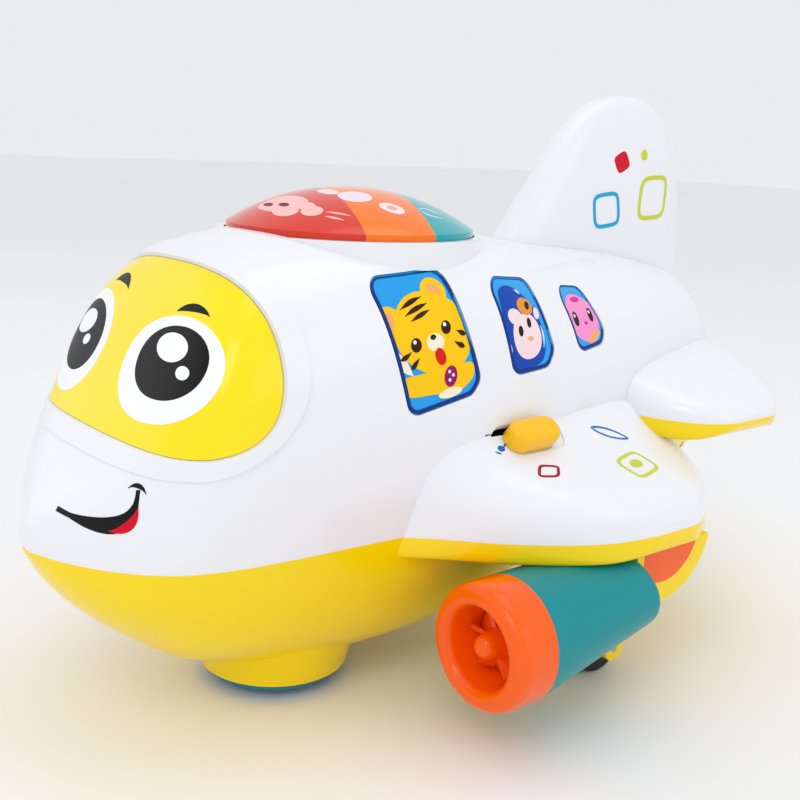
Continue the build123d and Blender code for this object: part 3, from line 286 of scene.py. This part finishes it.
def ring(centre, along, across, width, power=4.0):
    """Outer and inner loops of a tile drawn as a line."""
    outer = even_loop(tile(centre, along, across, power), 0.5)
    return [outer, inset(outer, width)]


def flowing(points, steps=6):
    """Closed smooth curve through the points."""
    n = len(points)
    out = []
    for i in range(n):
        p = [Vector(points[(i + k - 1) % n]) for k in range(4)]
        for j in range(steps):
            t = j / steps
            out.append(tuple(0.5 * (2 * p[1] + (p[2] - p[0]) * t
                                    + (2 * p[0] - 5 * p[1] + 4 * p[2] - p[3]) * t * t
                                    + (3 * p[1] - p[0] - 3 * p[2] + p[3]) * t ** 3)))
    return out


def brush(start, bend_a, bend_b, end, thick, skew, tip=0.25, steps=20):
    """Brush stroke along a Bezier curve; skew over 1 moves its thickest part towards the end."""
    p = [Vector(q) for q in (start, bend_a, bend_b, end)]
    left, right = [], []
    for i in range(steps + 1):
        t = i / steps
        at = p[0] * (1 - t) ** 3 + p[1] * 3 * t * (1 - t) ** 2 + p[2] * 3 * t * t * (1 - t) + p[3] * t ** 3
        along = (p[1] - p[0]) * (1 - t) ** 2 + (p[2] - p[1]) * 2 * t * (1 - t) + (p[3] - p[2]) * t * t
        along.normalize()
        half = 0.5 * max(thick * math.sin(math.pi * t ** skew), tip)
        side = Vector((-along.y, along.x)) * half
        left.append(tuple(at + side))
        right.append(tuple(at - side))
    return left + right[::-1]


def area_of(loop):
    return 0.5 * sum(p[0] * q[1] - q[0] * p[1] for p, q in zip(loop, loop[1:] + loop[:1]))


def inset(loop, depth):
    """Loop moved inwards by depth."""
    turn = 1 if area_of(loop) > 0 else -1
    out = []
    for i, p in enumerate(loop):
        before, after = Vector(loop[i - 1]), Vector(loop[(i + 1) % len(loop)])
        along = (after - before).normalized()
        out.append((p[0] - along.y * depth * turn, p[1] + along.x * depth * turn))
    return out


def even_loop(loop, spacing=0.8):
    """The same outline with evenly spaced points."""
    out, wait = [], 0.0
    for p, q in zip(loop, loop[1:] + loop[:1]):
        start, end = Vector(p), Vector(q)
        length = (end - start).length
        while wait < length:
            out.append(tuple(start.lerp(end, wait / length)))
            wait += spacing
        wait -= length
    return out


def inside(point, loops):
    """True if the point lies in the region that the loops bound together."""
    x, y = point
    odd = False
    for loop in loops:
        for (x1, y1), (x2, y2) in zip(loop, loop[1:] + loop[:1]):
            if (y1 > y) != (y2 > y) and x < (x2 - x1) * (y - y1) / (y2 - y1) + x1:
                odd = not odd
    return odd


# ------------------------------------------------------------------ prints that lie on the CAD surfaces
class Sheet:
    """Flat drawing sheet held near a CAD surface; drawings are pressed onto the surface along its normal."""

    def __init__(self, nodes, origin, normal, up, body="airframe", side="left"):
        self.side = side
        flip = -1 if side == "right" else 1
        self.origin = Vector((origin[0] * flip, origin[1], origin[2])) * MM
        self.normal = Vector((normal[0] * flip, normal[1], normal[2])).normalized()
        self.u = Vector(up).cross(self.normal).normalized()
        self.v = self.normal.cross(self.u)
        self.u *= flip
        self.body = body
        points, faces = [], []
        for name in nodes:
            mesh = NODES[name].data
            start = len(points)
            points += [v.co.copy() for v in mesh.vertices]
            faces += [[start + k for k in f.vertices] for f in mesh.polygons]
        self.tree = BVHTree.FromPolygons(points, faces)

    def press(self, point, lift):
        """Place of a drawing point on the surface, lifted off it by lift millimetres."""
        flat = self.origin + (self.u * point[0] + self.v * point[1]) * MM
        hit = self.tree.ray_cast(flat + self.normal * 25 * MM, -self.normal, 60 * MM)
        if hit[0] is None:
            hit = self.tree.find_nearest(flat)
        return hit[0] + self.normal * lift * MM


def build_mesh(name, points, faces, material, body):
    """Mesh object with even outward faces, smooth apart from its rims."""
    mesh = bpy.data.meshes.new(name)
    mesh.from_pydata([tuple(p) for p in points], [], faces)
    work = bmesh.new()
    work.from_mesh(mesh)
    bmesh.ops.recalc_face_normals(work, faces=work.faces)
    for face in work.faces:
        face.smooth = True
    for edge in work.edges:
        if len(edge.link_faces) == 2 and edge.calc_face_angle(0) > math.radians(40):
            edge.smooth = False
    work.to_mesh(mesh)
    work.free()
    mesh.materials.append(material)
    piece = bpy.data.objects.new(name, mesh)
    bpy.context.scene.collection.objects.link(piece)
    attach(piece, body)
    return piece


def printed(name, sheet, loops, material, lift=0.08, grid=1.2, sink=0.12):
    """Closed thin layer of ink or plastic over the region that the loops bound."""
    corners, edges = [], []
    for loop in loops:
        start = len(corners)
        corners += [Vector(p) for p in loop]
        edges += [(start + k, start + (k + 1) % len(loop)) for k in range(len(loop))]
    xs, ys = [p.x for p in corners], [p.y for p in corners]
    rim_count = len(corners)
    steps_x = int((max(xs) - min(xs)) / grid) + 1
    steps_y = int((max(ys) - min(ys)) / grid) + 1
    for i in range(1, steps_x):
        for j in range(1, steps_y):
            spot = (min(xs) + i * grid + 0.013, min(ys) + j * grid + 0.017)
            near = min((spot[0] - c.x) ** 2 + (spot[1] - c.y) ** 2 for c in corners[:rim_count])
            if near > (0.45 * grid) ** 2 and inside(spot, loops):
                corners.append(Vector(spot))
    flat, _, tris, _, _, _ = delaunay_2d_cdt(corners, edges, [], 0, 1e-5)
    tris = [t for t in tris if inside(sum((flat[k] for k in t), Vector((0, 0))) / len(t), loops)]
    top = [sheet.press(p, lift) for p in flat]
    low = [sheet.press(p, -sink) for p in flat]
    count = len(flat)
    faces = [tuple(t) for t in tris] + [tuple(count + k for k in reversed(t)) for t in tris]
    seen = {}
    for t in tris:
        for a, b in zip(t, list(t[1:]) + [t[0]]):
            seen[(a, b)] = True
    for a, b in seen:
        if (b, a) not in seen:
            faces.append((b, a, count + a, count + b))
    used = sorted({k for f in faces for k in f})
    place = {k: i for i, k in enumerate(used)}
    points = top + low
    return build_mesh(name, [points[k] for k in used], [tuple(place[k] for k in f) for f in faces],
                      material, sheet.body)


INKS = {name: ink("ink_" + name, rgb) for name, rgb in {
    "black": (16, 14, 16), "white": (250, 250, 252), "red": (214, 0, 36), "crimson": (168, 12, 60),
    "lime": (204, 214, 48), "cyan": (34, 168, 208), "navy": (4, 52, 132), "blue": (32, 112, 178),
    "deep_blue": (6, 70, 176), "tiger_yellow": (254, 202, 4), "ear_pink": (250, 172, 104),
    "brown": (52, 22, 8), "cream": (255, 240, 214), "tongue_red": (214, 28, 10), "berry": (146, 10, 104),
    "monkey_pink": (248, 222, 226), "hat_orange": (232, 152, 40), "cat_pink": (248, 150, 208),
    "magenta": (214, 40, 140), "peach": (250, 170, 120), "dome_pink": (252, 196, 192),
    "dome_white": (240, 226, 236), "ice": (196, 232, 246), "maroon": (120, 20, 24)}.items()}


def draw(sheet, prefix, drawings, base=0.06, step=0.035, grid=1.2):
    """Prints drawings on a sheet, each a little above the one before."""
    for level, (name, color, loops) in enumerate(drawings):
        printed(f"{prefix}_{name}", sheet, loops, INKS[color], lift=base + step * level, grid=grid)



# ------------------------------------------------------------------ the face
FACE_UP = (0, 0, 1)
EYE_SHEET = Sheet(["windshield_panel"], (27, -112, 112), (0.12, -0.92, 0.38), FACE_UP)
draw(EYE_SHEET, "left_eye", [
    ("white", "white", [ellipse(-4, 0, 21.8, 15.4, 3, power=2.15)]),
    ("pupil", "black", [ellipse(-3, 2, 15.8, 10.6, 3, power=2.1)]),
    ("shine", "white", [ellipse(-4, 6.3, 7.3, 4.1, -3)]),
    ("spark", "white", [ellipse(4.5, 0.3, 2.9, 1.9, -4)])])
FAR_EYE_SHEET = Sheet(["windshield_panel"], (-25, -112, 113), (-0.12, -0.92, 0.38), FACE_UP)
draw(FAR_EYE_SHEET, "right_eye", [
    ("white", "white", [ellipse(-3.6, -1.3, 15.2, 17.0, -12, power=2.1)]),
    ("pupil", "black", [ellipse(-4.4, 0.3, 12.0, 11.6, -12, power=2.1)]),
    ("shine", "white", [ellipse(-7.3, 4.2, 6.8, 4.0, 12)]),
    ("spark", "white", [ellipse(-1.6, -1.0, 2.4, 1.7, 14)])])

BROW_SHEET = Sheet(["windshield_panel"], (25, -104, 128), (0.1, -0.8, 0.6), FACE_UP)
draw(BROW_SHEET, "left", [
    ("brow", "black", [brush((-7.4, -1.6), (-3.5, 1.0), (3, 0.8), (6.5, -1.0), 2.5, 0.85)])])
FAR_BROW_SHEET = Sheet(["windshield_panel"], (-19, -103, 130), (-0.1, -0.8, 0.6), FACE_UP)
draw(FAR_BROW_SHEET, "right", [
    ("brow", "black", [brush((-7.2, -0.6), (-3, 2.2), (2, 1.6), (5.4, -1.8), 3.4, 0.95)])])

MOUTH_SHEET = Sheet(["upper_shell"], (30, -130.5, 76), (0.4, -0.87, 0.28), FACE_UP)
draw(MOUTH_SHEET, "mouth", [
    ("smile", "black", [brush((-21.8, -2.2), (-9, -4.2), (8.5, -6.5), (5.8, 7.6), 4.6, 1.25, 1.4)]),
    ("dimple", "black", [brush((2.2, 7.5), (4, 9.2), (7, 9.0), (8.6, 6.9), 1.3, 1.0)]),
    ("tongue", "red", [brush((-1.4, -4.6), (3.4, -4.4), (6.8, -0.8), (6.9, 3.2), 2.4, 0.95)])], grid=0.9)


# ------------------------------------------------------------------ pictures in the windows
def hull_of(points):
    """Convex outline of flat points, counter-clockwise."""
    ordered = sorted({(round(x, 3), round(y, 3)) for x, y in points})

    def half(chain):
        out = []
        for p in chain:
            while len(out) > 1 and area_of([out[-2], out[-1], p]) <= 0:
                out.pop()
            out.append(p)
        return out[:-1]

    return half(ordered) + half(ordered[::-1])


def outline_on(sheet, node):
    """Outline of a CAD node as drawn on a sheet."""
    flat = []
    for vertex in NODES[node].data.vertices:
        away = (vertex.co - sheet.origin) / MM
        flat.append((away.dot(sheet.u), away.dot(sheet.v)))
    return even_loop(hull_of(flat))


def clipped(loop, fence, margin):
    """Loop pulled inside a convex fence, leaving a margin."""
    walls = inset(fence, margin)
    middle = Vector((sum(p[0] for p in walls), sum(p[1] for p in walls))) / len(walls)
    out = []
    for p in loop:
        q = Vector(p)
        while not inside(tuple(q), [walls]) and (q - middle).length > 0.5:
            q = middle + (q - middle) * 0.985
        out.append(tuple(q))
    return out


TIGER = [
    ("ear_front", "tiger_yellow", [ellipse(-11, 6, 4.2, 4.8, 35)]),
    ("ear_front_inner", "ear_pink", [ellipse(-11, 6.2, 2.1, 2.7, 35)]),
    ("ear_rear", "tiger_yellow", [ellipse(6.2, 14, 4.6, 4.4)]),
    ("ear_rear_inner", "ear_pink", [ellipse(6.2, 14.4, 2.4, 2.2)]),
    ("body", "tiger_yellow", [flowing([(-8.5, -11), (-0.5, -9.5), (8, -9), (17.5, -7.5), (18, -12.5),
                                       (9.5, -17.5), (4.5, -16), (-6, -15.8)])]),
    ("head", "tiger_yellow", [ellipse(4, 2, 14.4, 11.8, -22, power=2.2)]),
    ("fur", "cream", [brush((-10.4, -1.5), (-9, -5.5), (-7, -7.5), (-4.2, -9.8), 3.2, 1.0)]),
    ("paw", "cream", [ellipse(9.6, -16, 4.4, 1.4, 8)]),
    ("stripe_a", "brown", [brush((-7, 9.4), (-4, 11), (-2, 12), (1.2, 12.8), 1.5, 1.0)]),
    ("stripe_b", "brown", [brush((-5.6, 7.4), (-3, 9), (0, 10), (2.8, 10.8), 1.5, 1.0)]),
    ("stripe_c", "brown", [brush((-3.8, 5.8), (-1.5, 7), (1, 8), (3.2, 8.8), 1.4, 1.0)]),
    ("eye_front", "brown", [ellipse(-2.8, -1.1, 1.9, 2.1)]),
    ("eye_rear", "brown", [ellipse(8.5, 3.4, 1.8, 2.0)]),
    ("eye_front_spark", "white", [ellipse(-3.3, -0.2, 0.6, 0.6)]),
    ("eye_rear_spark", "white", [ellipse(8, 4.3, 0.6, 0.6)]),
    ("muzzle", "cream", [ellipse(4.2, -0.7, 3.2, 2.6)]),
    ("nose", "brown", [ellipse(3.4, 0.8, 1.1, 0.8, 8)]),
    ("tongue", "tongue_red", [ellipse(5.9, -5, 2.7, 1.8, -66)]),
    ("cheek_a", "brown", [brush((-8.6, -5), (-7, -4.6), (-6, -4), (-4.8, -3), 1.5, 0.7)]),
    ("cheek_b", "brown", [brush((-4.6, -8), (-4, -7.2), (-3, -6), (-2, -5), 1.5, 0.7)]),
    ("cheek_c", "brown", [brush((15.6, 0.8), (14.6, 1.2), (13.6, 1.8), (12.4, 2.2), 1.5, 0.7)]),
    ("cheek_d", "brown", [brush((15, -2.8), (14, -2.4), (12.8, -1.8), (11.4, -1), 1.5, 0.7)]),
    ("berry", "berry", [ellipse(9.6, -11.1, 3.1, 2.3, -98)]),
    ("seed_a", "white", [ellipse(9, -9.7, 0.5, 0.5)]),
    ("seed_b", "white", [ellipse(10.4, -10.8, 0.5, 0.5)]),
    ("seed_c", "white", [ellipse(9.1, -12.2, 0.5, 0.5)]),
]
MONKEY = [
    ("night", "deep_blue", [flowing([(-5.5, 9), (-2.5, 12.5), (3, 12), (9.5, 6), (13, -4), (11, -12),
                                     (2, -14), (-3.5, -13.5), (-5, -4)])]),
    ("hand", "monkey_pink", [ellipse(-4.4, -6.9, 2.2, 1.1, -71)]),
    ("ear", "monkey_pink", [ellipse(10.9, 3, 1.9, 1.4, -100)]),
    ("brow_fur", "monkey_pink", [ellipse(0, 2.6, 3.4, 2.6, -20)]),
    ("head", "monkey_pink", [ellipse(4.6, -3.8, 6.6, 7.2, 10, power=2.2)]),
    ("hat", "hat_orange", [ellipse(5.8, 5.6, 3.7, 2.8, -14)]),
    ("hat_spot", "brown", [ellipse(7, 5.8, 1.1, 1.4, -20)]),
    ("eye_front", "black", [ellipse(1.6, -2, 1.1, 1.7)]),
    ("eye_rear", "black", [ellipse(6.1, 0.3, 1.0, 1.6)]),
    ("nose", "ear_pink", [ellipse(5.9, -4.7, 1.4, 0.7)]),
    ("gloss_a", "ice", [brush((11.6, -1), (12.4, -3), (12.5, -5.5), (11.9, -8), 0.9, 1.0)]),
    ("gloss_b", "ice", [brush((3.2, 11.1), (4, 10.9), (4.8, 10.3), (5.4, 9.7), 0.9, 1.0)]),
]
CAT = [
    ("face", "cat_pink", [ellipse(1.2, 0, 9.2, 8.2, -28, power=2.3)]),
    ("ruff", "peach", [ellipse(5, -7, 4.2, 1.6, 22)]),
    ("tuft", "magenta", [ellipse(0.9, 6.6, 2.8, 1.0)]),
    ("eye_front", "black", [ellipse(-3.3, -0.1, 1.5, 2.6)]),
    ("eye_rear", "black", [ellipse(6.3, 0.4, 1.4, 2.5)]),
    ("eye_front_spark", "white", [ellipse(-3.6, 1, 0.5, 0.6)]),
    ("eye_rear_spark", "white", [ellipse(6, 1.5, 0.5, 0.6)]),
    ("nose", "magenta", [ellipse(2.1, -2.1, 1.0, 0.6)]),
]
WINDOW_ART = {
    "front": ((50, -44, 119), (0.98, -0.02, 0.22), TIGER),
    "middle": ((50, -6, 121), (0.95, 0.08, 0.28), MONKEY),
    "rear": ((44, 30, 120), (0.86, 0.18, 0.47), CAT),
}
BORDER_WIDTH = 1.05
for side in ("left", "right"):
    for place, (origin, normal, art) in WINDOW_ART.items():
        node = f"{side}_window_{place}"
        sheet = Sheet([node], origin, normal, (0, 0, 1), side=side)
        fence = outline_on(sheet, node)
        drawings = [(name, color, [clipped(loop, fence, 0.9) for loop in loops]) for name, color, loops in art]
        drawings.append(("border", "navy", [inset(fence, 0.1), inset(fence, 0.1 + BORDER_WIDTH)]))
        draw(sheet, f"{side}_{place}_picture", drawings, base=0.05, step=0.012, grid=1.5)

# ------------------------------------------------------------------ drawings on the dome button
DOME_SHEET = Sheet(["dome_lens_front", "dome_lens_middle", "dome_lens_rear"], (22, -54, 154), (0.3, -0.3, 0.9),
                   (0, -1, 0), body="dome_button")
draw(DOME_SHEET, "dome_animal", [
    ("head", "dome_pink", [ellipse(20, 8.5, 9.6, 6.0, 4, power=2.4)]),
    ("muzzle", "dome_pink", [ellipse(13.4, 11.4, 4.8, 3.4, 10)]),
    ("neck", "dome_pink", [ellipse(11, 6, 4, 2.4, 10)]),
    ("ear", "dome_pink", [ellipse(6.2, 6.6, 3.6, 3.0, 20)]),
    ("eye_front", "maroon", [ellipse(24.5, 11.1, 2.8, 1.1, -6)]),
    ("eye_rear", "maroon", [ellipse(17.9, 9.3, 2.3, 1.1, 4)]),
    ("trail_a", "dome_pink", [brush((2.6, 4), (0.6, 2.4), (-1.6, 0.8), (-3.6, -0.6), 0.9, 1.0)]),
    ("trail_b", "dome_pink", [brush((0.5, 5.6), (-1, 4.6), (-3, 3.4), (-4.6, 2.4), 0.9, 1.0)])], step=0.02)
draw(DOME_SHEET, "dome_cloud", [
    ("a", "dome_white", [ellipse(17.2, -6, 4.6, 2.4, 6)]),
    ("b", "dome_white", [ellipse(8, -10, 5.4, 5.0, 20)]),
    ("c", "dome_white", [ellipse(-3.6, -15.6, 4.0, 3.3, 30)]),
    ("c_spot", "peach", [ellipse(-3.6, -15.6, 1.6, 1.3, 30)])], step=0.02)
draw(DOME_SHEET, "dome_ribbon", [
    ("a", "ice", [brush((-4, -25.5), (-8, -24.5), (-8.5, -28.5), (-8.5, -31.5), 1.1, 1.0)]),
    ("b", "ice", [brush((-4, -25.5), (-1.5, -29.5), (-5.5, -31), (-5.5, -33.5), 1.1, 1.0)]),
    ("c", "ice", [brush((1.8, -33.6), (1.4, -34.8), (0.8, -36), (0, -37.2), 0.9, 1.0)])], step=0.02)

# ------------------------------------------------------------------ marks on the wings and the fin
for side in ("left", "right"):
    wing = [f"{side}_wing_top"]
    WING_UP = (0, -1, 0)
    draw(Sheet(wing, (68, -6, 78.5), (0.5, -0.1, 0.9), WING_UP, side=side), f"{side}_wing_mark", [
        ("red", "crimson", ring((-0.1, 0), (1.3, 3.6), (-2.4, 2.1), 1.0))])
    draw(Sheet(wing, (74, 29, 76.7), (0.3, 0, 0.9), WING_UP, side=side), f"{side}_wing_mark", [
        ("lime", "lime", ring((0.3, -1), (-1.8, 7.2), (5.6, 1.2), 1.3)),
        ("lime_dot", "lime", [ellipse(0.8, -0.8, 2.0, 3.1, 15)])])
    draw(Sheet(wing, (59.5, 32, 83.6), (0.6, 0, 0.8), WING_UP, side=side), f"{side}_wing_mark", [
        ("blue", "blue", ring((0, 0), (3.4, 7.0), (-1.9, 1.0), 0.8, power=1.7))])
    fin_sheet = Sheet(["tail_fin"], (8, 92.5, 164), (1, 0, 0), (0, 0, 1), side=side)
    draw(fin_sheet, f"{side}_fin_mark", [
        ("red", "red", [tile((-4.2, 7), (3.5, 1.7), (-1.8, 3.1))]),
        ("dot", "lime", [ellipse(9.4, 10, 2.0, 2.0)]),
        ("cyan", "cyan", ring((-12, -11), (7.6, 0.9), (-0.9, 6.6), 1.5)),
        ("lime", "lime", ring((17, -6.3), (9.6, 0.4), (0.9, 8.6), 1.6))])
ICON_SHEET = Sheet(["left_wing_top"], (64, -7, 87.7), (0.8, 0, 0.6), (0, -1, 0))
draw(ICON_SHEET, "mode_icon", [
    ("play_a", "blue", [ellipse(1.4, 9.6, 1.1, 1.3)]),
    ("play_b", "blue", [brush((1.4, 8.6), (2, 8), (2.6, 7.2), (3, 6.6), 0.7, 1.0)]),
    ("play_c", "blue", [brush((-0.4, 10.6), (-0.1, 11), (0.4, 11.8), (0.8, 12.4), 0.7, 1.0)]),
    ("quiet_a", "blue", [ellipse(-0.6, -7.2, 0.9, 1.3)]),
    ("quiet_b", "blue", [ellipse(-1.0, -9.6, 0.7, 1.0)])], step=0.015)
